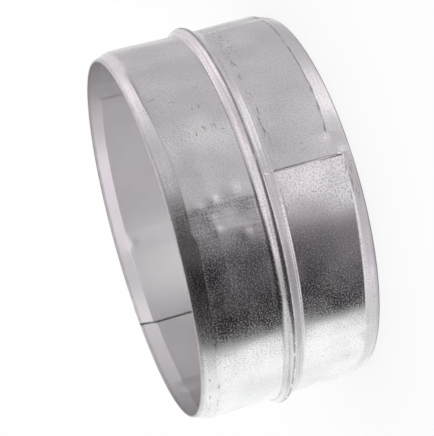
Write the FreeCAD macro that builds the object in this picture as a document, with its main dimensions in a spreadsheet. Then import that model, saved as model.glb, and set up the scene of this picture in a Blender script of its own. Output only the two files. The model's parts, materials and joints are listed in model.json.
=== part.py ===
import FreeCAD, Part
import math
import os
import Sketcher
from FreeCAD import Placement, Rotation, Vector

os.makedirs("parts", exist_ok=True)
doc = FreeCAD.newDocument("ductConnector")

# Driving sizes, in millimetres and degrees
sizes = {
    "overall_length": 75.0,      # rim to rim along the axis
    "crease_radius": 79.6,       # outside radius of the lands, the widest plain wall
    "rim_radius": 77.4,          # outside radius at both open ends
    "foot_radius": 79.05,        # outside radius beside the bead, slightly waisted
    "lead_in_length": 6.6,       # tapered end, rim to land
    "land_length": 9.0,          # cylindrical land behind each taper
    "bead_width": 10.0,          # stop bead, foot to foot
    "bead_height": 3.2,          # crest above the foot
    "bead_crest_radius": 3.0,    # outside radius of the crest
    "sheet_thickness": 0.5,
    "lap_middle_angle": 117.2,   # where around the axis the strip ends overlap
    "lap_angle": 7.2,            # overlap of the two strip ends
    "lap_run_angle": 18.0,       # each end leaves the true circle this far from the lap's middle
    "lap_bite": 0.04,            # welded depth of the two layers at the lap's middle
    "flat_angle": 7.3,           # flat left between two expander segments
    "flat_cover": 0.7,           # a flat runs this far over the crease
    "segment_count": 6,
    "upper_flat_angle": 210.0,   # first flat of the upper spigot
    "lower_flat_angle": 161.7,   # first flat of the lower spigot
    "lower_flat_count": 5,       # the sixth would fall on the lap, which stays round
}

sheet = doc.addObject("Spreadsheet::Sheet", "Dimensions")
for row, (alias, value) in enumerate(sizes.items(), start=1):
    sheet.set(f"A{row}", alias)
    sheet.set(f"B{row}", str(value))
    sheet.setAlias(f"B{row}", alias)
doc.recompute()

# The origin lies halfway between the rims; the placement stands the sleeve on its lower rim
body = doc.addObject("PartDesign::Body", "sleeve")
body.Label = "sleeve"
body.setExpression("Placement.Base.z", "Dimensions.overall_length / 2 * 1 mm")

ROOT = (-1, 1)   # the sketch's own origin point
LEVEL = -1       # the sketch's horizontal axis, the middle plane of the sleeve


def originFeature(role):
    return next(item for item in body.Origin.OriginFeatures if item.Role == role)


def meridianSketch(name, angle):
    sketch = doc.addObject("Sketcher::SketchObject", name)
    body.addObject(sketch)
    sketch.AttachmentSupport = [(originFeature("XZ_Plane"), "")]
    sketch.MapMode = "FlatFace"
    sketch.AttachmentOffset = Placement(Vector(0, 0, 0), Rotation(Vector(0, 1, 0), 1))
    sketch.setExpression("AttachmentOffset.Rotation.Angle", f"({angle}) * 1 deg")
    return sketch


def hold(sketch, kind, *places):
    sketch.addConstraint(Sketcher.Constraint(kind, *places))


def drive(sketch, kind, *places, start, to):
    index = sketch.addConstraint(Sketcher.Constraint(kind, *places, start))
    sketch.setExpression(f"Constraints[{index}]", f"({to}) * 1 mm")


def arc(centre, radius, first, last):
    return Part.ArcOfCircle(Part.Circle(centre, Vector(0, 0, 1), radius), first, last)


def line(start, end):
    return Part.LineSegment(start, end)


def drawSection(sketch, axisSide):
    value = {alias: float(sheet.get(alias)) for alias in sizes}
    thick = value["sheet_thickness"]
    crest = value["bead_crest_radius"]
    crease = value["crease_radius"]
    half = value["overall_length"] / 2
    landEnd = half - value["lead_in_length"]
    landStart = landEnd - value["land_length"]
    inward = Vector(-thick, 0, 0)

    # start positions close to the answer, so the constraints settle on the right side
    rim = Vector(value["rim_radius"], half, 0)
    foot = Vector(value["foot_radius"], value["bead_width"] / 2, 0)
    crestMid = Vector(foot.x + value["bead_height"] - crest, 0, 0)
    reach = foot - crestMid
    lean = math.atan2(reach.y, reach.x) - math.acos(crest / reach.Length)
    slope = Vector(math.cos(lean), math.sin(lean), 0)
    landTop = Vector(crease, landEnd, 0)
    landFoot = Vector(crease, landStart, 0)
    corners = [crestMid + slope * crest, foot, landFoot, landTop, rim]
    corners += [corner + inward for corner in reversed(corners[1:])]
    corners.append(crestMid + slope * (crest - thick))
    lastLine = len(corners) - 2

    crestArc, crestArcIn, axis = range(3)
    sketch.addGeometry([arc(crestMid, crest, -lean, lean), arc(crestMid, crest - thick, -lean, lean)])
    sketch.addGeometry(line(Vector(5 * axisSide, 0, 0), Vector(5 * axisSide, half, 0)), True)
    upper = sketch.addGeometry([line(a, b) for a, b in zip(corners, corners[1:])])
    mirrored = [Vector(corner.x, -corner.y, 0) for corner in corners]
    lower = sketch.addGeometry([line(a, b) for a, b in zip(mirrored, mirrored[1:])])
    flank, wall, land, lead, rimEdge, leadIn, landIn, wallIn, flankIn = upper

    # the upper half joined up, and the lower half as its image
    hold(sketch, "Tangent", crestArc, 2, flank, 1)
    hold(sketch, "Tangent", flankIn, 2, crestArcIn, 2)
    hold(sketch, "Coincident", crestArc, 1, lower[0], 1)
    hold(sketch, "Coincident", crestArcIn, 1, lower[lastLine], 2)
    hold(sketch, "Vertical", flank, 1, lower[0], 1)
    hold(sketch, "Vertical", flankIn, 2, lower[lastLine], 2)
    for number in range(lastLine):
        hold(sketch, "Coincident", upper[number], 2, upper[number + 1], 1)
        hold(sketch, "Coincident", lower[number], 2, lower[number + 1], 1)
        hold(sketch, "Symmetric", upper[number], 2, lower[number], 2, LEVEL)

    # outer face of the sheet, from the crest of the bead to the rim
    hold(sketch, "PointOnObject", crestArc, 3, LEVEL)
    drive(sketch, "Radius", crestArc, start=crest, to="Dimensions.bead_crest_radius")
    drive(sketch, "DistanceX", *ROOT, crestArc, 3, start=crestMid.x,
          to="Dimensions.foot_radius + Dimensions.bead_height - Dimensions.bead_crest_radius")
    drive(sketch, "DistanceX", *ROOT, wall, 1, start=foot.x, to="Dimensions.foot_radius")
    drive(sketch, "DistanceY", *ROOT, wall, 1, start=foot.y, to="Dimensions.bead_width / 2")
    hold(sketch, "Vertical", land)
    drive(sketch, "DistanceX", *ROOT, land, 2, start=crease, to="Dimensions.crease_radius")
    drive(sketch, "DistanceY", *ROOT, land, 2, start=landEnd,
          to="Dimensions.overall_length / 2 - Dimensions.lead_in_length")
    drive(sketch, "DistanceY", land, 1, land, 2, start=landEnd - landStart, to="Dimensions.land_length")
    drive(sketch, "DistanceX", *ROOT, lead, 2, start=rim.x, to="Dimensions.rim_radius")
    drive(sketch, "DistanceY", *ROOT, lead, 2, start=rim.y, to="Dimensions.overall_length / 2")

    # level rim, and the inner face one sheet thickness away
    hold(sketch, "Horizontal", rimEdge)
    for inner, outer in ((leadIn, lead), (landIn, land), (wallIn, wall)):
        hold(sketch, "Parallel", inner, outer)
        drive(sketch, "Distance", inner, 1, outer, start=thick, to="Dimensions.sheet_thickness")
    hold(sketch, "Parallel", flankIn, flank)
    hold(sketch, "Coincident", crestArcIn, 3, crestArc, 3)
    drive(sketch, "Radius", crestArcIn, start=crest - thick,
          to="Dimensions.bead_crest_radius - Dimensions.sheet_thickness")

    # centre line of the strip end, moved so that the end leaves the true circle without a kink
    hold(sketch, "Vertical", axis)
    hold(sketch, "PointOnObject", axis, 1, LEVEL)
    drive(sketch, "DistanceY", axis, 1, axis, 2, start=half, to="Dimensions.overall_length / 2")
    ends = (*ROOT, axis, 1) if axisSide > 0 else (axis, 1, *ROOT)
    drive(sketch, "DistanceX", *ends, start=5,
          to="(Dimensions.sheet_thickness - Dimensions.lap_bite)"
             " / (2 * (1 - cos(Dimensions.lap_run_angle * 1 deg)))")


LAP_MIDDLE = "Dimensions.lap_middle_angle"
END_SWEEP = "(Dimensions.lap_run_angle + Dimensions.lap_angle / 2) * 1 deg"

outerSection = meridianSketch("outerEndSection", f"{LAP_MIDDLE} + Dimensions.lap_run_angle")
drawSection(outerSection, -1)
innerSection = meridianSketch("innerEndSection", f"{LAP_MIDDLE} - Dimensions.lap_run_angle")
drawSection(innerSection, 1)


def addFeature(kind, name):
    feature = doc.addObject(f"PartDesign::{kind}", name)
    body.addObject(feature)
    body.Tip = feature
    return feature


def revolve(name, sketch, axis, sweep, backwards):
    feature = addFeature("Revolution", name)
    feature.Profile = sketch
    feature.ReferenceAxis = (sketch, [axis])
    feature.Reversed = backwards
    feature.setExpression("Angle", sweep)
    return feature


ringSweep = "(360 - 2 * Dimensions.lap_run_angle) * 1 deg"
revolve("rolledRing", outerSection, "V_Axis", ringSweep, False)
revolve("outerLapEnd", outerSection, "Axis0", END_SWEEP, True)
revolve("innerLapEnd", innerSection, "Axis0", END_SWEEP, False)

# Flats between the expander segments: the sheet runs straight there, on both of its faces
SAG = "Dimensions.crease_radius * (1 - cos(Dimensions.flat_angle / 2 * 1 deg))"
FLAT_RADIUS = f"(Dimensions.crease_radius - {SAG})"
FLAT_FOOT = f"(Dimensions.foot_radius - {SAG})"
OUTSIDE = "(Dimensions.crease_radius + Dimensions.bead_height)"
LAND_END = "(Dimensions.overall_length / 2 - Dimensions.lead_in_length)"
LAND_START = f"({LAND_END} - Dimensions.land_length)"
FLAT_END = f"({LAND_END} + Dimensions.flat_cover)"
BEAD_FOOT = "(Dimensions.bead_width / 2)"
SHEET = "Dimensions.sheet_thickness"
CHORD = "2 * Dimensions.crease_radius * sin(Dimensions.flat_angle / 2 * 1 deg)"

outerFlat = [
    (FLAT_RADIUS, FLAT_END),
    (FLAT_RADIUS, LAND_START),
    (FLAT_FOOT, BEAD_FOOT),
    (OUTSIDE, BEAD_FOOT),
    (OUTSIDE, FLAT_END),
]
innerFlat = [
    (f"{FLAT_RADIUS} - {SHEET}", FLAT_END),
    (f"{FLAT_RADIUS} - {SHEET}", LAND_START),
    (f"{FLAT_FOOT} - {SHEET}", BEAD_FOOT),
    (f"{FLAT_FOOT} - 0.6 * {SHEET}", BEAD_FOOT),
    (f"{FLAT_RADIUS} - 0.6 * {SHEET}", LAND_START),
    (f"{FLAT_RADIUS} - 0.6 * {SHEET}", FLAT_END),
]


def drawOutline(sketch, corners, upright):
    # start positions on a rough ring, in the order of the corners
    count = len(corners)
    turns = [n * 2 * math.pi / count for n in range(count)]
    around = [Vector(50 + 9 * math.cos(turn), upright * (20 + 9 * math.sin(turn)), 0) for turn in turns]
    sketch.addGeometry([line(around[n], around[(n + 1) % count]) for n in range(count)])
    for n, (across, along) in enumerate(corners):
        hold(sketch, "Coincident", (n - 1) % count, 2, n, 1)
        drive(sketch, "DistanceX", *ROOT, n, 1, start=around[n].x, to=across)
        ends = (*ROOT, n, 1) if upright > 0 else (n, 1, *ROOT)
        drive(sketch, "DistanceY", *ends, start=abs(around[n].y), to=along)


def pressFlat(kind, name, corners, angle, upright):
    sketch = meridianSketch(f"{name}Outline", angle)
    drawOutline(sketch, corners, upright)
    feature = addFeature(kind, name)
    feature.Profile = sketch
    feature.SideType = "Symmetric"
    feature.setExpression("Length", f"({CHORD} + 2 * {SHEET}) * 1 mm")
    return feature


def repeatRound(name, features, count):
    pattern = addFeature("PolarPattern", name)
    pattern.Originals = features
    pattern.Axis = (originFeature("Z_Axis"), [""])
    pattern.setExpression("Occurrences", count)
    pattern.setExpression("Angle", f"({count} - 1) * 360 / Dimensions.segment_count * 1 deg")
    return pattern


upperDip = pressFlat("Pocket", "upperFlatOutside", outerFlat, "Dimensions.upper_flat_angle", 1)
upperSwell = pressFlat("Pad", "upperFlatInside", innerFlat, "Dimensions.upper_flat_angle", 1)
upperFlats = repeatRound("upperFlats", [upperDip, upperSwell], "Dimensions.segment_count")
lowerDip = pressFlat("Pocket", "lowerFlatOutside", outerFlat, "Dimensions.lower_flat_angle", -1)
lowerSwell = pressFlat("Pad", "lowerFlatInside", innerFlat, "Dimensions.lower_flat_angle", -1)
lowerFlats = repeatRound("lowerFlats", [lowerDip, lowerSwell], "Dimensions.lower_flat_count")
doc.recompute()

for item in doc.Objects:
    if "Invalid" in item.State or "Error" in item.State:
        raise RuntimeError(f"{item.Label} did not build: {item.State}")
    if item.isDerivedFrom("Sketcher::SketchObject") and not item.FullyConstrained:
        raise RuntimeError(f"{item.Label} is not fully held by its sizes")
if body.Shape.isNull() or not body.Shape.isValid() or len(body.Shape.Solids) != 1:
    raise RuntimeError("the sleeve is not one sound solid")
body.Shape.exportStep(f"parts/{body.Label}.step")
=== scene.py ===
import bpy
import json
import math
from mathutils import Matrix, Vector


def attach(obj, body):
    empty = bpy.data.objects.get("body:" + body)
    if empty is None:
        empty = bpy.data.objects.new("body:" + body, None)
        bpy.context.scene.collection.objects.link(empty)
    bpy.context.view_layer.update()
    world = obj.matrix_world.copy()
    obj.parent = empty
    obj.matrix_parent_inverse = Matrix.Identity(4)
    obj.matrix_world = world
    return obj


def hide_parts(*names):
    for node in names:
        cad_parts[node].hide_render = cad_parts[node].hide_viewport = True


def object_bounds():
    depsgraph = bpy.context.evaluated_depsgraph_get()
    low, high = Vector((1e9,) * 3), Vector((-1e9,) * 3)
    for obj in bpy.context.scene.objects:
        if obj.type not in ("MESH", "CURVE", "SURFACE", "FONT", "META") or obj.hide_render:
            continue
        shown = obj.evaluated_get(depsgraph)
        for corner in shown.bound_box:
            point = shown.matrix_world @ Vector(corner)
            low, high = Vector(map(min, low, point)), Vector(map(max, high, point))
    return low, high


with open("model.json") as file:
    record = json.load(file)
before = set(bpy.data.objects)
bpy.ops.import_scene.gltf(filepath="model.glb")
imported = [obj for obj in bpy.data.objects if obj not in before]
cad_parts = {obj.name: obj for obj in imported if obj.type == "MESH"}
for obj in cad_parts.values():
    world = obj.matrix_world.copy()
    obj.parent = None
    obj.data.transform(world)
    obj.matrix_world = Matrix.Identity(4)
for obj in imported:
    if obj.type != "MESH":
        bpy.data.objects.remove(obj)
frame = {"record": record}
cadLow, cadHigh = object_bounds()  # box of the solid part, in metres

mm = 0.001
deg = math.pi / 180


def feed(tree, socket, value):
    if isinstance(value, bpy.types.NodeSocket):
        tree.links.new(value, socket)
    else:
        socket.default_value = value


def addNode(tree, kind, inputs=None, **settings):
    node = tree.nodes.new(kind)
    for name, value in settings.items():
        setattr(node, name, value)
    for key, value in (inputs or {}).items():
        feed(tree, node.inputs[key], value)
    return node


def calc(tree, operation, *values):
    node = tree.nodes.new("ShaderNodeMath")
    node.operation = operation
    for socket, value in zip(node.inputs, values):
        feed(tree, socket, value)
    return node.outputs[0]


def ramp(tree, value, low, high, toLow=0.0, toHigh=1.0, smooth=True):
    node = addNode(tree, "ShaderNodeMapRange", {
        "Value": value, "From Min": low, "From Max": high, "To Min": toLow, "To Max": toHigh,
    }, interpolation_type="SMOOTHSTEP" if smooth else "LINEAR")
    return node.outputs[0]


def blend(tree, share, first, second):
    node = addNode(tree, "ShaderNodeMix", data_type="RGBA")
    for socket, value in zip((node.inputs[0], node.inputs[6], node.inputs[7]), (share, first, second)):
        feed(tree, socket, value)
    return node.outputs[2]


def handCurve(tree, factor, points):
    node = addNode(tree, "ShaderNodeFloatCurve", {"Value": factor})
    curve = node.mapping.curves[0]
    for place, height in points[1:-1]:
        curve.points.new(place, height)
    for point, (place, height) in zip(curve.points, points):
        point.location = (place, height)
        point.handle_type = "VECTOR"
    node.mapping.update()
    return node.outputs[0]


# the sleeve: one strip, pressed, rolled and lapped

spigot = next(m for m in frame["record"]["mounts"] if m["name"] == "upper_spigot")
sleeve = {
    "length": cadHigh.z - cadLow.z,
    "wallRadius": spigot["dims"]["r_mm"] * mm,
    "rimRadius": 77.4 * mm,
    "footRadius": 79.3 * mm,       # the wall is slightly waisted beside the bead
    "crestRadius": 82.05 * mm,
    "leadIn": 6.6 * mm,            # tapered end, rim to crease
    "land": 9.0 * mm,
    "beadWidth": 9.0 * mm,
    "skirtRise": 0.13 * mm,        # the lower foot of the bead starts with a shallow slope
    "skirtWidth": 0.6 * mm,
    "creaseRound": 0.08 * mm,
    "upperGapRound": 1.2 * mm,     # the crease fades between two expander segments
    "lowerGapRound": 3.0 * mm,
    "topRound": 0.70 * mm,         # the upper crease is softer on the side towards +X
    "lean": 0.036,                 # slope of the one segment that was pressed askew
    "leanMiddle": 17.0 * mm,
    "nearCorner": 278.15 * deg,    # its upper edge, pressed in as a groove
    "groove": 0.24 * mm,
    "grooveBank": 0.50 * deg,
    "ledgeWidth": 0.3 * deg,       # step from the askew segment up to the groove
    "farCorner": 394.8 * deg,      # edge of the flat that folded most, seen on the far inside
    "fold": -0.24 * mm,
    "foldBank": 1.4 * deg,
    "flatRound": 0.05 * mm,
    "rimRound": 0.20 * mm,         # the sheared edge turns in slightly
    "rimCurl": 0.6 * mm,
    "sheet": 0.5 * mm,
    "outerEnd": 112.4 * deg,       # free edge of the strip end that lies outside
    "outerLeaves": 135.2 * deg,
    "outerLift": 0.35 * mm,
    "innerEnd": 479.5 * deg,       # free edge of the strip end that lies inside
    "innerLeaves": 459.2 * deg,
    "innerLift": 0.75 * mm,
    "segmentPitch": 60 * deg,
    "flatHalfAngle": 3.65 * deg,
    "upperFlat": 30.0 * deg,
    "lowerFlat": 41.7 * deg,
    "lapClear": 0.05,              # share of the strip at each end that has no flats
    "followFrom": 18 * mm,         # the rows beyond follow the crease
    "wobble": 0.08 * mm,
    "steps": 300,
}
blankOnly = ("sheet", "steps")  # used before the strip is rolled
topSpan = (0.50, 0.57, 0.64, 0.70)  # places along the strip where topRound comes in and goes out
gapFade = (0.6 * deg, -2.8 * deg)  # from the edge of a flat, outside it and inside it
creaseRange = (4.0 * mm, 9.0 * mm)  # lengths of taper that the two wander curves run between
upperWander = [  # place along the strip, share of that range
    (0.0, 0.86), (0.10, 0.86), (0.18, 0.68), (0.27, 0.48), (0.334, 0.40), (0.388, 0.46), (0.414, 0.62),
    (0.425, 0.46), (0.465, 0.46), (0.487, 0.40), (0.503, 0.30), (0.519, 0.18), (0.538, 0.04), (0.566, 0.04),
    (0.62, 0.24), (0.675, 0.44), (0.80, 0.52), (1.0, 0.56),
]
lowerWander = [
    (0.0, 0.52), (0.27, 0.54), (0.334, 0.62), (0.378, 0.56), (0.413, 0.38), (0.435, 0.34), (0.452, 0.12),
    (0.470, 0.66), (0.484, 0.58), (0.51, 0.46), (0.54, 0.50), (0.60, 0.49), (0.70, 0.52), (1.0, 0.52),
]
leanShare = [  # place along the strip, share of the lean
    (0.0, 0.0), (0.31, 0.0), (0.36, 0.30), (0.41, 0.70), (0.43, 0.95), (0.45, 1.0), (1.0, 1.0),
]
pressMarks = [  # angle, height, size and rise of the buckles in three of the upper flats
    (275.5, 58.0, 1.8, 0.11), (277.0, 49.8, 3.6, 0.13), (274.0, 64.5, 2.2, 0.09),
    (267.0, 59.4, 1.7, 0.10), (264.0, 48.7, 2.2, 0.10), (270.5, 61.5, 2.4, 0.10),
    (270.5, 49.5, 5.5, -0.12), (390.5, 66.5, 2.4, 0.22), (450.5, 66.5, 1.9, 0.18),
]


def blankRows():
    half = sleeve["length"] / 2
    crease = half - sleeve["leadIn"]
    foot = sleeve["beadWidth"] / 2
    rows = [half - d * mm for d in (0, 0.25, 0.6, 2, 4)]
    rows += [crease + d * mm for d in (1.3, 0.5, 0.2, 0.06, -0.06, -0.2, -0.5, -1.3, -2.6)]
    rows += [25 * mm, 21.9 * mm, 17 * mm, 12 * mm, 8.5 * mm]
    rows += [foot + d * mm for d in (1.2, 0.75, 0.6, 0.45, 0.15, 0, -0.2, -0.5, -0.9, -1.4)]
    rows += [foot + d * mm for d in (-1.9, -2.4, -2.9, -3.4, -3.8, -4.2)]
    heights = [half] + [half - row for row in rows] + [half + row for row in rows]
    heights += [height * mm for height in range(46, 68)]  # closer together where the upper flats buckle
    return sorted(heights)


def blankColumns():
    first, last = sleeve["outerEnd"], sleeve["innerEnd"]
    count = sleeve["steps"]
    columns = [first + (last - first) * n / count for n in range(count + 1)]
    for centre in (sleeve["upperFlat"], sleeve["lowerFlat"]):
        for turn in range(8):
            for side in (-1, 1):
                edge = centre + turn * sleeve["segmentPitch"] + side * sleeve["flatHalfAngle"]
                columns += [edge + offset * deg for offset in (-0.3, -0.1, 0, 0.2, 0.4)]
    columns += [(262 + n / 3) * deg for n in range(52)]  # closer together by the near corner and buckles
    columns += [sleeve["farCorner"] + side * sleeve["foldBank"] for side in (-1, -0.5, 0, 0.5, 1)]
    columns += [(386 + n * 0.75) * deg for n in range(9)] + [(448 + n * 0.75) * deg for n in range(7)]
    return sorted(c for c in columns if first <= c <= last)


def makeBlank():
    rows, columns = blankRows(), blankColumns()
    radius, sheet = sleeve["wallRadius"], sleeve["sheet"]
    tall, wide = len(rows), len(columns)
    points = [(c * radius, r, level) for level in (0, -sheet) for c in columns for r in rows]
    inner = tall * wide

    def at(column, row, layer):
        return layer * inner + column * tall + row

    faces = []
    for c in range(wide - 1):
        for r in range(tall - 1):
            outerFace = (at(c, r, 0), at(c + 1, r, 0), at(c + 1, r + 1, 0), at(c, r + 1, 0))
            faces.append(outerFace)
            faces.append(tuple(index + inner for index in reversed(outerFace)))
        faces.append((at(c, 0, 1), at(c + 1, 0, 1), at(c + 1, 0, 0), at(c, 0, 0)))
        faces.append((at(c, tall - 1, 0), at(c + 1, tall - 1, 0), at(c + 1, tall - 1, 1), at(c, tall - 1, 1)))
    for r in range(tall - 1):
        faces.append((at(0, r, 1), at(0, r, 0), at(0, r + 1, 0), at(0, r + 1, 1)))
        faces.append((at(wide - 1, r, 0), at(wide - 1, r, 1), at(wide - 1, r + 1, 1), at(wide - 1, r + 1, 0)))
    mesh = bpy.data.meshes.new("sleeveBlank")
    mesh.from_pydata(points, [], faces)
    inside = mesh.attributes.new("inside", "FLOAT", "POINT")
    inside.data.foreach_set("value", [0.0] * inner + [1.0] * inner)
    uvLayer = mesh.uv_layers.new(name="strip")
    for loop in mesh.loops:
        uvLayer.data[loop.index].uv = points[loop.vertex_index][:2]
    return mesh


def makeRollForm():
    tree = bpy.data.node_groups.new("rollForm", "GeometryNodeTree")
    tree.interface.new_socket("Geometry", in_out="INPUT", socket_type="NodeSocketGeometry")
    for name in sleeve:
        if name not in blankOnly:
            tree.interface.new_socket(name, in_out="INPUT", socket_type="NodeSocketFloat")
    tree.interface.new_socket("finish", in_out="INPUT", socket_type="NodeSocketMaterial")
    tree.interface.new_socket("Geometry", in_out="OUTPUT", socket_type="NodeSocketGeometry")
    size = tree.nodes.new("NodeGroupInput").outputs
    radius, half = size["wallRadius"], calc(tree, "DIVIDE", size["length"], 2.0)

    blankPlace = tree.nodes.new("GeometryNodeInputPosition").outputs[0]
    flat = addNode(tree, "ShaderNodeSeparateXYZ", {0: blankPlace}).outputs
    angle = calc(tree, "DIVIDE", flat["X"], radius)
    level = calc(tree, "SUBTRACT", flat["Y"], half)
    isUpper = calc(tree, "GREATER_THAN", level, 0.0)
    isLower = calc(tree, "SUBTRACT", 1.0, isUpper)
    sweep = calc(tree, "SUBTRACT", size["innerEnd"], size["outerEnd"])
    along = calc(tree, "DIVIDE", calc(tree, "SUBTRACT", angle, size["outerEnd"]), sweep)
    ledge = calc(tree, "SUBTRACT", size["nearCorner"], size["ledgeWidth"])
    underCorner = ramp(tree, angle, ledge, size["nearCorner"], 1.0, 0.0, smooth=False)
    leaning = calc(tree, "MULTIPLY", handCurve(tree, along, leanShare), isLower)
    leaning = calc(tree, "MULTIPLY", leaning, underCorner)

    # flats between the segments, left out where the strip ends lap
    flatSpread = calc(tree, "SUBTRACT", size["upperFlat"], size["lowerFlat"])
    flatMiddle = calc(tree, "MULTIPLY_ADD", flatSpread, isUpper, size["lowerFlat"])
    halfPitch = calc(tree, "DIVIDE", size["segmentPitch"], 2.0)
    fromFlat = calc(tree, "WRAP", calc(tree, "SUBTRACT", angle, flatMiddle), halfPitch,
                    calc(tree, "MULTIPLY", halfPitch, -1.0))
    fromLap = calc(tree, "MINIMUM", along, calc(tree, "SUBTRACT", 1.0, along))
    offLap = calc(tree, "GREATER_THAN", fromLap, size["lapClear"])
    chord = calc(tree, "DIVIDE", calc(tree, "COSINE", size["flatHalfAngle"]), calc(tree, "COSINE", fromFlat))
    depth = calc(tree, "MULTIPLY", radius, calc(tree, "SUBTRACT", 1.0, chord))
    sag = calc(tree, "SMOOTH_MAX", 0.0, depth, size["flatRound"])
    fromEdge = calc(tree, "SUBTRACT", calc(tree, "ABSOLUTE", fromFlat), size["flatHalfAngle"])
    fromGroove = calc(tree, "DIVIDE", calc(tree, "SUBTRACT", angle, size["nearCorner"]), size["grooveBank"])
    steepBank = calc(tree, "MULTIPLY_ADD", fromGroove, 4.0, 1.0)
    groove = calc(tree, "MINIMUM", calc(tree, "SUBTRACT", 1.0, fromGroove), steepBank)
    groove = calc(tree, "MULTIPLY", calc(tree, "MAXIMUM", groove, 0.0), size["groove"])
    ragged = addNode(tree, "ShaderNodeTexNoise", {"Vector": blankPlace, "Scale": 350.0})
    groove = calc(tree, "MULTIPLY", groove, ramp(tree, ragged.outputs["Fac"], 0.30, 0.60, 0.60, 1.0))
    groove = calc(tree, "MULTIPLY", groove, isLower)
    fromFold = calc(tree, "DIVIDE", calc(tree, "SUBTRACT", angle, size["farCorner"]), size["foldBank"])
    gentleBank = calc(tree, "MULTIPLY_ADD", fromFold, -0.15, 1.0)
    fold = calc(tree, "MINIMUM", calc(tree, "ADD", 1.0, fromFold), gentleBank)
    fold = calc(tree, "MAXIMUM", 0.0, fold)
    fold = calc(tree, "MULTIPLY", calc(tree, "MULTIPLY", fold, size["fold"]), isUpper)
    sag = calc(tree, "ADD", calc(tree, "ADD", sag, groove), fold)
    sag = calc(tree, "MULTIPLY", sag, offLap)
    inGap = calc(tree, "MULTIPLY", ramp(tree, fromEdge, *gapFade), offLap)

    # the crease wanders along the strip, and the rows beside it follow
    wander = addNode(tree, "ShaderNodeMix", {
        "Factor": isUpper, "A": handCurve(tree, along, lowerWander), "B": handCurve(tree, along, upperWander),
    }).outputs[0]
    leadIn = ramp(tree, wander, 0.0, 1.0, *creaseRange, smooth=False)
    fromMiddle = calc(tree, "ABSOLUTE", level)
    fromRim = calc(tree, "DIVIDE", calc(tree, "SUBTRACT", half, fromMiddle), size["leadIn"])
    crease = calc(tree, "SUBTRACT", half, size["leadIn"])
    fromWall = ramp(tree, fromMiddle, size["followFrom"], crease, smooth=False)
    follow = calc(tree, "MINIMUM", fromRim, fromWall)
    drift = calc(tree, "MULTIPLY", calc(tree, "SUBTRACT", leadIn, size["leadIn"]), follow)
    reach = calc(tree, "SUBTRACT", fromMiddle, drift)
    height = calc(tree, "MULTIPLY_ADD", reach, calc(tree, "SIGN", level), half)

    # section: waisted wall, taper and bead
    footReach = calc(tree, "DIVIDE", size["beadWidth"], 2.0)
    landFoot = calc(tree, "SUBTRACT", half, calc(tree, "ADD", size["leadIn"], size["land"]))
    waist = calc(tree, "MULTIPLY", ramp(tree, reach, landFoot, footReach, smooth=False),
                 calc(tree, "SUBTRACT", radius, size["footRadius"]))
    fromPivot = calc(tree, "SUBTRACT", reach, size["leanMiddle"])
    askew = calc(tree, "MULTIPLY", calc(tree, "MULTIPLY", leaning, size["lean"]), fromPivot)
    waist = calc(tree, "MULTIPLY", waist, calc(tree, "SUBTRACT", 1.0, leaning))
    wall = calc(tree, "SUBTRACT", calc(tree, "SUBTRACT", radius, waist), calc(tree, "ADD", sag, askew))
    for markAngle, markHeight, markSize, rise in pressMarks:
        across = calc(tree, "SUBTRACT", angle, markAngle * deg)
        across = calc(tree, "MULTIPLY", across, sleeve["wallRadius"] / (markSize * mm))
        up = calc(tree, "DIVIDE", calc(tree, "SUBTRACT", height, markHeight * mm), markSize * mm)
        squares = calc(tree, "MULTIPLY_ADD", across, across, calc(tree, "MULTIPLY", up, up))
        bulge = calc(tree, "EXPONENT", calc(tree, "MULTIPLY", squares, -1.0))
        wall = calc(tree, "MULTIPLY_ADD", bulge, rise * mm, wall)
    taper = calc(tree, "DIVIDE", calc(tree, "SUBTRACT", radius, size["rimRadius"]), leadIn)
    toRim = calc(tree, "SUBTRACT", half, reach)
    lead = calc(tree, "MULTIPLY_ADD", toRim, taper, size["rimRadius"])
    curl = calc(tree, "SUBTRACT", 1.0, calc(tree, "DIVIDE", toRim, size["rimCurl"]))
    curl = calc(tree, "MAXIMUM", 0.0, curl)
    curl = calc(tree, "MULTIPLY", calc(tree, "MULTIPLY", curl, curl), size["rimRound"])
    lead = calc(tree, "SUBTRACT", lead, curl)
    gapRound = addNode(tree, "ShaderNodeMix", {
        "Factor": isUpper, "A": size["lowerGapRound"], "B": size["upperGapRound"],
    }).outputs[0]
    softness = addNode(tree, "ShaderNodeMix", {
        "Factor": inGap, "A": size["creaseRound"], "B": gapRound,
    }).outputs[0]
    comesIn, isIn, goesOut, isOut = topSpan
    easing = calc(tree, "MULTIPLY", ramp(tree, along, comesIn, isIn), ramp(tree, along, isOut, goesOut))
    easing = calc(tree, "MULTIPLY", calc(tree, "MULTIPLY", easing, isUpper), size["topRound"])
    plain = calc(tree, "SMOOTH_MIN", wall, lead, calc(tree, "ADD", softness, easing))
    skirtReach = calc(tree, "ADD", footReach, size["skirtWidth"])
    skirt = ramp(tree, reach, skirtReach, footReach, 0.0, size["skirtRise"], smooth=False)
    plain = calc(tree, "MULTIPLY_ADD", skirt, isLower, plain)
    swell = calc(tree, "COSINE", ramp(tree, reach, 0.0, footReach, 0.0, math.pi, smooth=False))
    swell = calc(tree, "MULTIPLY_ADD", swell, 0.5, 0.5)
    outline = calc(tree, "MULTIPLY_ADD", swell, calc(tree, "SUBTRACT", size["crestRadius"], plain), plain)

    # strip ends leave the circle gently, one outwards and one inwards
    def leave(start, end, lift):
        share = calc(tree, "DIVIDE", calc(tree, "SUBTRACT", angle, start), calc(tree, "SUBTRACT", end, start))
        share = calc(tree, "MAXIMUM", share, 0.0)
        return calc(tree, "MULTIPLY", calc(tree, "MULTIPLY", share, share), lift)

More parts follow.
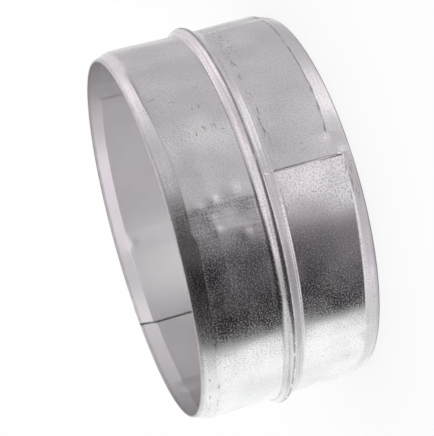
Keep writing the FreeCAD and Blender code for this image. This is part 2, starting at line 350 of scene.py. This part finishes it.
    outerLift = leave(size["outerLeaves"], size["outerEnd"], size["outerLift"])
    innerLift = leave(size["innerLeaves"], size["innerEnd"], size["innerLift"])
    rolled = calc(tree, "SUBTRACT", calc(tree, "ADD", outline, outerLift), innerLift)
    cosine, sine = calc(tree, "COSINE", angle), calc(tree, "SINE", angle)
    stretched = calc(tree, "MULTIPLY", height, 8.0)
    noisePlace = addNode(tree, "ShaderNodeCombineXYZ", {0: cosine, 1: sine, 2: stretched}).outputs[0]
    noise = addNode(tree, "ShaderNodeTexNoise", {"Vector": noisePlace, "Scale": 6.0, "Detail": 1.0})
    unevenness = calc(tree, "MULTIPLY", calc(tree, "SUBTRACT", noise.outputs["Fac"], 0.5), size["wobble"])
    rolled = calc(tree, "ADD", calc(tree, "ADD", rolled, unevenness), flat["Z"])
    place = addNode(tree, "ShaderNodeCombineXYZ", {
        0: calc(tree, "MULTIPLY", rolled, cosine), 1: calc(tree, "MULTIPLY", rolled, sine), 2: height,
    })
    formed = addNode(tree, "GeometryNodeSetPosition", {
        "Geometry": size["Geometry"], "Position": place.outputs[0],
    })
    whole = addNode(tree, "GeometryNodeRealizeInstances", {"Geometry": formed.outputs[0]})
    clad = addNode(tree, "GeometryNodeSetMaterial", {
        "Geometry": whole.outputs[0], "Material": size["finish"],
    })
    tree.links.new(clad.outputs[0], tree.nodes.new("NodeGroupOutput").inputs[0])
    return tree


def makeSleeve(finish):
    piece = bpy.data.objects.new("sleeveSheet", makeBlank())
    bpy.context.scene.collection.objects.link(piece)
    form = piece.modifiers.new("rollForm", "NODES")
    form.node_group = makeRollForm()
    values = dict(sleeve, finish=finish)
    for item in form.node_group.interface.items_tree:
        if item.in_out == "INPUT" and item.name in values:
            form[item.identifier] = values[item.name] if item.name == "finish" else float(values[item.name])
    shaped = piece.evaluated_get(bpy.context.evaluated_depsgraph_get())
    mesh = bpy.data.meshes.new_from_object(shaped)
    piece.modifiers.clear()
    piece.data = mesh
    mesh.name = "sleeveSheet"
    mesh.shade_smooth()
    mesh.set_sharp_from_angle(angle=40 * deg)
    return piece


# zinc finish

zinc = {
    "pale": (0.945, 0.934, 0.940, 1),
    "clouded": (0.835, 0.843, 0.855, 1),
    "dull": (0.735, 0.732, 0.734, 1),
    # colour of scuff marks and of painted shade
    "scuffedAndShaded": (0.42, 0.41, 0.41, 1),
    "smooth": 0.13,
    "rough": 0.47,
    "scuffAndShadeRough": 0.45,
    "insideRough": 0.17,           # added on the inner face
    "grainDepth": 0.014 * mm,
    "smudgeAngles": (320 * deg, 347 * deg),  # a rubbed patch below the bead
    "smudgeHeights": (25.5 * mm, 31 * mm),
    "wornRim": (73.6 * mm, 76 * mm),
}
grainScale = {  # about as many to the metre
    "clouds": 50,
    "blotches": 60,
    "speckle": 1500,
    "rings": 1100,
    "dashes": 1000,
    "smudge": 850,
    "flecks": 800,
    "ripples": 850,
    "fine": 1700,
}
rubZones = [(0, 8), (67, 75), (31, 44)]  # heights where the dies rubbed
scuffAndShadeRuns = [  # outer face: first and last angle, first and last height, share that is darkened; scuff marks, and one painted dark reflection along the bead crest
    (284, 322, 29.4, 31.2, 0.55),
    (287, 356, 6.5, 7.2, 1.10),
    (284, 287, 6.0, 7.8, 0.70),
    (265, 278.5, 1.5, 6.8, 0.55),
    (192, 243, 67.8, 68.6, 0.55),
    (192, 243, 71.4, 72.0, 0.50),
    (293.8, 296.2, 44.5, 58.5, 0.50),
    (302.2, 303.8, 50.5, 56.5, 0.50),
    # painted dark reflection: a dark line along the bead crest, all round the strip
    (100, 490, 37.5, 38.2, 1.60),
]
darkenedEdges = [  # cut edges darkened on both faces: the inner lapped edge is painted shade for the dark gap under it, the outer end and the rims are only made darker
    # painted shade: the dark gap line under the inner lapped edge
    (479.2, 480.0, -1.0, 76.0, 3.0),
    (111.5, 112.5, -1.0, 76.0, 3.0),
    (100.0, 490.0, -1.0, 0.5, 3.0),
    (100.0, 490.0, 74.9, 76.0, 3.0),
]


def makeSheetGrain():
    group = bpy.data.node_groups.new("sheetGrain", "ShaderNodeTree")
    group.interface.new_socket("Strip", in_out="INPUT", socket_type="NodeSocketVector")
    group.interface.new_socket("Inside", in_out="INPUT", socket_type="NodeSocketFloat")
    # the third output darkens the colour with scuff marks and painted shade
    for name in ("Clouds", "Dullness", "ScuffsAndShade", "Grain"):
        group.interface.new_socket(name, in_out="OUTPUT", socket_type="NodeSocketFloat")
    given = group.nodes.new("NodeGroupInput").outputs
    strip = given["Strip"]
    result = group.nodes.new("NodeGroupOutput").inputs
    split = addNode(group, "ShaderNodeSeparateXYZ", {0: strip}).outputs
    height = split["Y"]
    angle = calc(group, "DIVIDE", split["X"], sleeve["wallRadius"])

    def noise(name, detail, stretch=(1, 1, 1)):
        place = addNode(group, "ShaderNodeMapping", {"Vector": strip, "Scale": stretch}).outputs[0]
        inputs = {"Vector": place, "Scale": grainScale[name], "Detail": detail}
        return addNode(group, "ShaderNodeTexNoise", inputs).outputs["Fac"]

    def between(value, low, high, soft):
        rising = ramp(group, value, low - soft, low + soft)
        return calc(group, "MULTIPLY", rising, ramp(group, value, high + soft, high - soft))

    # fine speckle over soft blotches and clouds, and ring lines where the dies rubbed
    calm = ramp(group, given["Inside"], 0, 1, 1.0, 0.25, smooth=False)  # the inner face was never rubbed
    clouds = ramp(group, noise("clouds", 4), 0.40, 0.64)
    group.links.new(calc(group, "MULTIPLY", clouds, calm), result["Clouds"])
    blotches = ramp(group, noise("blotches", 5), 0.35, 0.70)
    speckle = ramp(group, noise("speckle", 2), 0.44, 0.66)
    rings = ramp(group, noise("rings", 2, (0.03, 1, 1)), 0.48, 0.70)
    rubbed = 0.0
    for low, high in rubZones:
        rubbed = calc(group, "MAXIMUM", rubbed, between(height, low * mm, high * mm, 1 * mm))
    outside = calc(group, "SUBTRACT", 1.0, given["Inside"])
    rings = calc(group, "MULTIPLY", rings, calc(group, "MULTIPLY", rubbed, outside))
    speckle = calc(group, "MULTIPLY", speckle, ramp(group, given["Inside"], 0, 1, 0.55, 0.15, smooth=False))
    dullness = calc(group, "MULTIPLY_ADD", blotches, 0.35, speckle)
    dullness = calc(group, "MULTIPLY_ADD", rings, 0.30, dullness)
    dullness = calc(group, "MULTIPLY", dullness, calm)
    group.links.new(dullness, result["Dullness"])

    # short dashes, all along the strip
    dashes = noise("dashes", 2, (0.22, 1, 1))
    scuffsAndShade = calc(group, "MULTIPLY", rings, between(height, 33 * mm, 42 * mm, 0.8 * mm))
    scuffsAndShade = calc(group, "MULTIPLY", scuffsAndShade, 0.35)
    # runs darken the colour: scuff marks, the painted dark reflection on the bead crest and the painted shade
    # at the inner lapped edge
    for runs, face in ((scuffAndShadeRuns, outside), (darkenedEdges, 1.0)):
        for firstAngle, lastAngle, low, high, share in runs:
            run = calc(group, "MULTIPLY", between(angle, firstAngle * deg, lastAngle * deg, 0.25 * deg),
                       between(height, low * mm, high * mm, 0.4 * mm))
            marked = ramp(group, dashes, 0.62 - 0.2 * share, 0.82 - 0.2 * share)
            marked = calc(group, "MULTIPLY", marked, face)
            scuffsAndShade = calc(group, "MAXIMUM", scuffsAndShade, calc(group, "MULTIPLY", run, marked))
    smudge = between(angle, *zinc["smudgeAngles"], 4 * deg)
    smudge = calc(group, "MULTIPLY", smudge, between(height, *zinc["smudgeHeights"], 1.5 * mm))
    flecked = ramp(group, noise("smudge", 3, (0.6, 1, 1)), 0.50, 0.68, 0.0, 0.60)
    smudge = calc(group, "MULTIPLY", smudge, flecked)
    scuffsAndShade = calc(group, "MAXIMUM", scuffsAndShade, calc(group, "MULTIPLY", smudge, outside))
    worn = between(height, *zinc["wornRim"], 0.35 * mm)
    worn = calc(group, "MULTIPLY", worn, ramp(group, dashes, 0.30, 0.60, 0.25, 0.45))
    scuffsAndShade = calc(group, "MAXIMUM", scuffsAndShade, worn)
    axialFlecks = ramp(group, noise("flecks", 1, (1, 0.22, 1)), 0.68, 0.80)
    axialFlecks = calc(group, "MULTIPLY", calc(group, "MULTIPLY", axialFlecks, 0.5), outside)
    scuffsAndShade = calc(group, "MAXIMUM", scuffsAndShade, axialFlecks)
    group.links.new(scuffsAndShade, result["ScuffsAndShade"])

    # axial ripples, strongest by the flats
    isUpper = calc(group, "GREATER_THAN", height, sleeve["length"] / 2)
    flatMiddle = ramp(group, isUpper, 0, 1, sleeve["lowerFlat"] - 4 * deg, sleeve["upperFlat"], smooth=False)
    halfPitch = sleeve["segmentPitch"] / 2
    fromFlat = calc(group, "WRAP", calc(group, "SUBTRACT", angle, flatMiddle), halfPitch, -halfPitch)
    byFlat = ramp(group, calc(group, "ABSOLUTE", fromFlat), 9 * deg, 3 * deg)
    rippling = calc(group, "MULTIPLY_ADD", byFlat, 3.0, 0.4)
    ripples = calc(group, "MULTIPLY", noise("ripples", 1, (1, 0.12, 1)), rippling)
    ripples = calc(group, "MULTIPLY", ripples, outside)
    grain = calc(group, "MULTIPLY_ADD", noise("fine", 2), 0.6, ripples)
    grain = calc(group, "MULTIPLY", grain, ramp(group, given["Inside"], 0, 1, 1.0, 0.2, smooth=False))
    group.links.new(calc(group, "MULTIPLY_ADD", rings, 0.4, grain), result["Grain"])
    return group


def makeZinc():
    material = bpy.data.materials.new("zincSheet")
    material.use_nodes = True
    tree = material.node_tree
    shader = tree.nodes["Principled BSDF"]
    shader.inputs["Metallic"].default_value = 1.0
    strip = addNode(tree, "ShaderNodeUVMap", uv_map="strip").outputs[0]
    grain = addNode(tree, "ShaderNodeGroup", node_tree=makeSheetGrain())
    tree.links.new(strip, grain.inputs["Strip"])
    inside = addNode(tree, "ShaderNodeAttribute", attribute_name="inside").outputs["Fac"]
    tree.links.new(inside, grain.inputs["Inside"])
    dullness, scuffsAndShade = grain.outputs["Dullness"], grain.outputs["ScuffsAndShade"]

    sheen = blend(tree, grain.outputs["Clouds"], zinc["pale"], zinc["clouded"])
    sheen = blend(tree, dullness, sheen, zinc["dull"])
    # scuff marks and painted shade darken the colour
    colour = blend(tree, scuffsAndShade, sheen, zinc["scuffedAndShaded"])
    tree.links.new(colour, shader.inputs["Base Color"])
    plainRough = ramp(tree, dullness, 0, 1, zinc["smooth"], zinc["rough"], smooth=False)
    plainRough = calc(tree, "MULTIPLY_ADD", inside, zinc["insideRough"], plainRough)
    rough = addNode(tree, "ShaderNodeMix", {
        "Factor": scuffsAndShade, "A": plainRough, "B": zinc["scuffAndShadeRough"],
    }).outputs[0]
    tree.links.new(rough, shader.inputs["Roughness"])
    bump = addNode(tree, "ShaderNodeBump", {"Height": grain.outputs["Grain"], "Distance": zinc["grainDepth"]})
    tree.links.new(bump.outputs[0], shader.inputs["Normal"])
    return material


zincSheet = makeZinc()
sleevePiece = makeSleeve(zincSheet)
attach(sleevePiece, "root")
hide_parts("sleeve")
print("sleeve:", len(sleevePiece.data.polygons), "faces")

# floor, light and camera

studio = {
    "roomLevel": 1.05,
    "roomColour": (0.53, 0.505, 0.53, 1),
    "floorSide": 14.0,
    "floorColour": (0.96, 0.96, 0.96, 1),
    "floorGlow": 0.82,              # share of plain white that the camera sees, over the shadow
    "cameraPlace": (0.0, -0.6239, 0.1767),
    "cameraRight": (-0.2664, -0.2049, -0.9418),
    "cameraUp": (0.9639, -0.0571, -0.2602),
    "cameraBack": (-0.0004, -0.9771, 0.2127),
    "lens": 124.42,
}


def makeFloor():
    reach = studio["floorSide"] / 2
    mesh = bpy.data.meshes.new("floor")
    corners = [(-reach, -reach, 0), (reach, -reach, 0), (reach, reach, 0), (-reach, reach, 0)]
    mesh.from_pydata(corners, [], [(0, 1, 2, 3)])
    floor = bpy.data.objects.new("floor", mesh)
    bpy.context.scene.collection.objects.link(floor)
    material = bpy.data.materials.new("palePaper")
    material.use_nodes = True
    shader = material.node_tree.nodes["Principled BSDF"]
    shader.inputs["Base Color"].default_value = studio["floorColour"]
    shader.inputs["Roughness"].default_value = 1.0
    shader.inputs["Specular IOR Level"].default_value = 0.0
    mesh.materials.append(material)
    tree = material.node_tree
    bright = addNode(tree, "ShaderNodeEmission", {"Color": (1, 1, 1, 1), "Strength": 1.0})
    ray = tree.nodes.new("ShaderNodeLightPath").outputs
    share = calc(tree, "MULTIPLY", ray["Is Camera Ray"], studio["floorGlow"])
    mixed = addNode(tree, "ShaderNodeMixShader", {0: share, 1: shader.outputs[0], 2: bright.outputs[0]})
    tree.links.new(mixed.outputs[0], tree.nodes["Material Output"].inputs["Surface"])
    floor.visible_glossy = False


# cards round the object, seen in its reflections alone: turn from the front towards +X and half width
# with their edge, lowest and highest lift with their edge, all in degrees, and the colour
cards = {
    "ceiling": (0, 200, 1, 48, 100, 8, (0.87, 0.80, 0.84)),
    "sideCard": (106, 34, 24, 16, 40, 6, (0.98, 0.89, 0.96)),
    "sideLow": (142, 24, 10, -3, 18, 5, (0.74, 0.685, 0.725)),
    "eyeLevel": (56, 48, 8, -6, 9, 4, (0.30, 0.285, 0.295)),
    "paleStrip": (51, 10, 6, -62, -8, 4, (0.62, 0.605, 0.62)),
    "darkFlag": (-52.5, 51.5, 30, -24, 58, 10, (0.012, 0.009, 0.011)),
    "flatShade": (-3, 9, 6, -15.5, -6, 3, (0.08, 0.073, 0.082)),
    "lowMid": (-26, 20, 16, -34, -17, 3, (0.23, 0.205, 0.225)),
    "nadir": (0, 200, 1, -100, -64, 6, (0.60, 0.565, 0.59)),
    "flagTop": (0, 18, 10, 6, 42, 8, (0.07, 0.064, 0.062)),
    "lowLeft": (-40, 40, 12, -46.5, -32, 2.5, (0.98, 0.90, 0.96)),
    "lowDeep": (-98, 34, 12, -78, -56, 4, (0.36, 0.335, 0.35)),
    "lowFront": (5, 18, 12, -32, -18.6, 2.2, (1.08, 1.02, 1.06)),
    "lowSpot": (74, 20, 12, -70, -38, 6, (1.0, 0.95, 0.98)),
    "lowWide": (108, 34, 10, -74, -54, 4, (1.0, 0.95, 0.98)),
    "greyBack": (214, 63, 8, -40, 70, 8, (0.79, 0.79, 0.785)),
    "whiteCard": (232.5, 44.5, 5, -25, 13, 6, (1.0, 1.0, 1.0)),
}


def makeWorld():
    world = bpy.data.worlds.new("studio")
    world.use_nodes = True
    bpy.context.scene.world = world
    tree = world.node_tree
    background = tree.nodes["Background"]
    ray = tree.nodes.new("ShaderNodeLightPath").outputs
    direction = tree.nodes.new("ShaderNodeTexCoord").outputs["Generated"]
    direction = addNode(tree, "ShaderNodeSeparateXYZ", {0: direction}).outputs
    turn = calc(tree, "ARCTAN2", direction["X"], calc(tree, "MULTIPLY", direction["Y"], -1.0))
    lift = calc(tree, "ARCSINE", direction["Z"])

    seen = studio["roomColour"]
    for middle, half, edge, low, high, liftEdge, colour in cards.values():
        away = calc(tree, "WRAP", calc(tree, "SUBTRACT", turn, middle * deg), math.pi, -math.pi)
        share = ramp(tree, calc(tree, "ABSOLUTE", away), (half + edge) * deg, (half - edge) * deg)
        aboveLow = ramp(tree, lift, (low - liftEdge) * deg, (low + liftEdge) * deg)
        belowHigh = ramp(tree, lift, (high + liftEdge) * deg, (high - liftEdge) * deg)
        share = calc(tree, "MULTIPLY", calc(tree, "MULTIPLY", share, aboveLow), belowHigh)
        seen = blend(tree, share, seen, (*colour, 1))
    shown = blend(tree, ray["Is Glossy Ray"], (1, 1, 1, 1), seen)
    tree.links.new(shown, background.inputs["Color"])
    level = calc(tree, "MULTIPLY_ADD", ray["Is Glossy Ray"], studio["roomLevel"] - 1, 1.0)
    tree.links.new(level, background.inputs["Strength"])


def makeCamera():
    data = bpy.data.cameras.new("camera")
    data.lens = studio["lens"]
    data.sensor_fit = "HORIZONTAL"
    data.sensor_width = 36
    camera = bpy.data.objects.new("camera", data)
    bpy.context.scene.collection.objects.link(camera)
    columns = [studio["cameraRight"], studio["cameraUp"], studio["cameraBack"], studio["cameraPlace"]]
    camera.matrix_world = Matrix([[column[n] for column in columns] for n in range(3)] + [[0, 0, 0, 1]])
    bpy.context.scene.camera = camera


makeFloor()
makeWorld()
makeCamera()
bpy.context.scene.view_settings.view_transform = "Standard"
print("studio ready")
